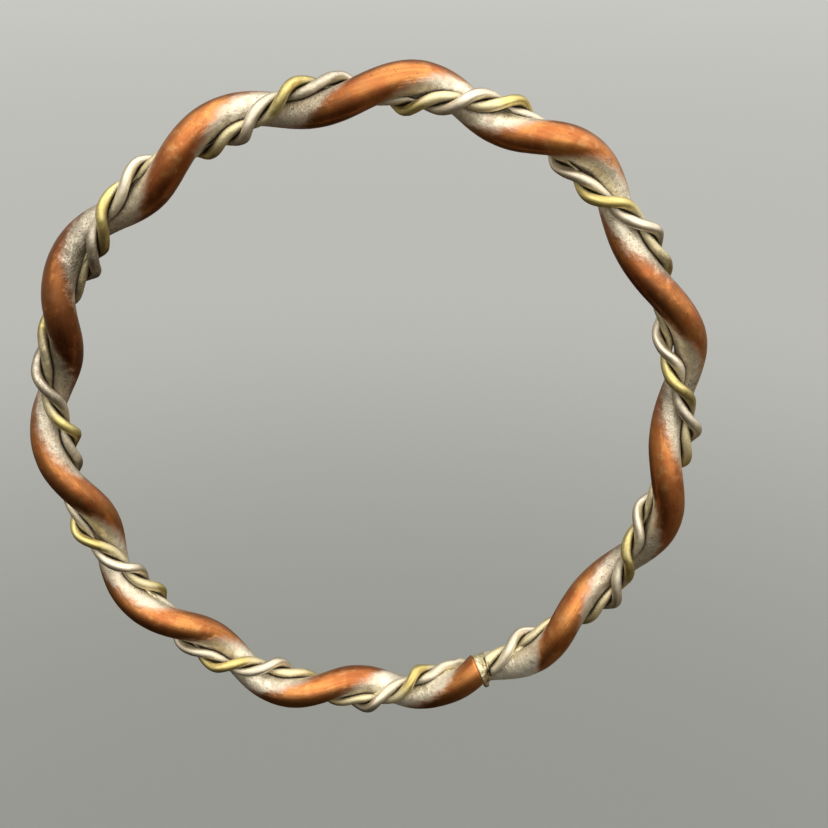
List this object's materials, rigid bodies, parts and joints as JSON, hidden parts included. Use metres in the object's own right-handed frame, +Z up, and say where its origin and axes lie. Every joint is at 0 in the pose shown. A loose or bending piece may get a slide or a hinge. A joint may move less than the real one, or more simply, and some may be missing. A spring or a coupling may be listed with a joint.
{
  "type": "twisted wire bangle",
  "caption": "Closed bangle of heavy copper wire twisted with a fine two-wire strand of brass and silver-coloured wire, butt-soldered at one seam.",
  "frame": {"origin": "top of the wrist opening, where the bangle rests on a peg or hook", "axes": "+Z up as the bangle hangs; the ring stands in the XZ plane, its front faces -Y and +X is to the right seen from the front"},
  "size_m": [0.0762, 0.0062, 0.0794],
  "materials": {
    "aged_copper": "satin aged copper with a silvery solder wash where it meets the strand",
    "brass": "satin pale brass, dark in the grooves",
    "silver": "satin warm silver, dark in the grooves",
    "solder": "lumpy satin solder"
  },
  "bodies": {
    "root": {"copper_wire": "aged_copper", "brass_wire": "brass", "silver_wire": "silver", "solder_joint": "solder"}
  },
  "joints": []
}
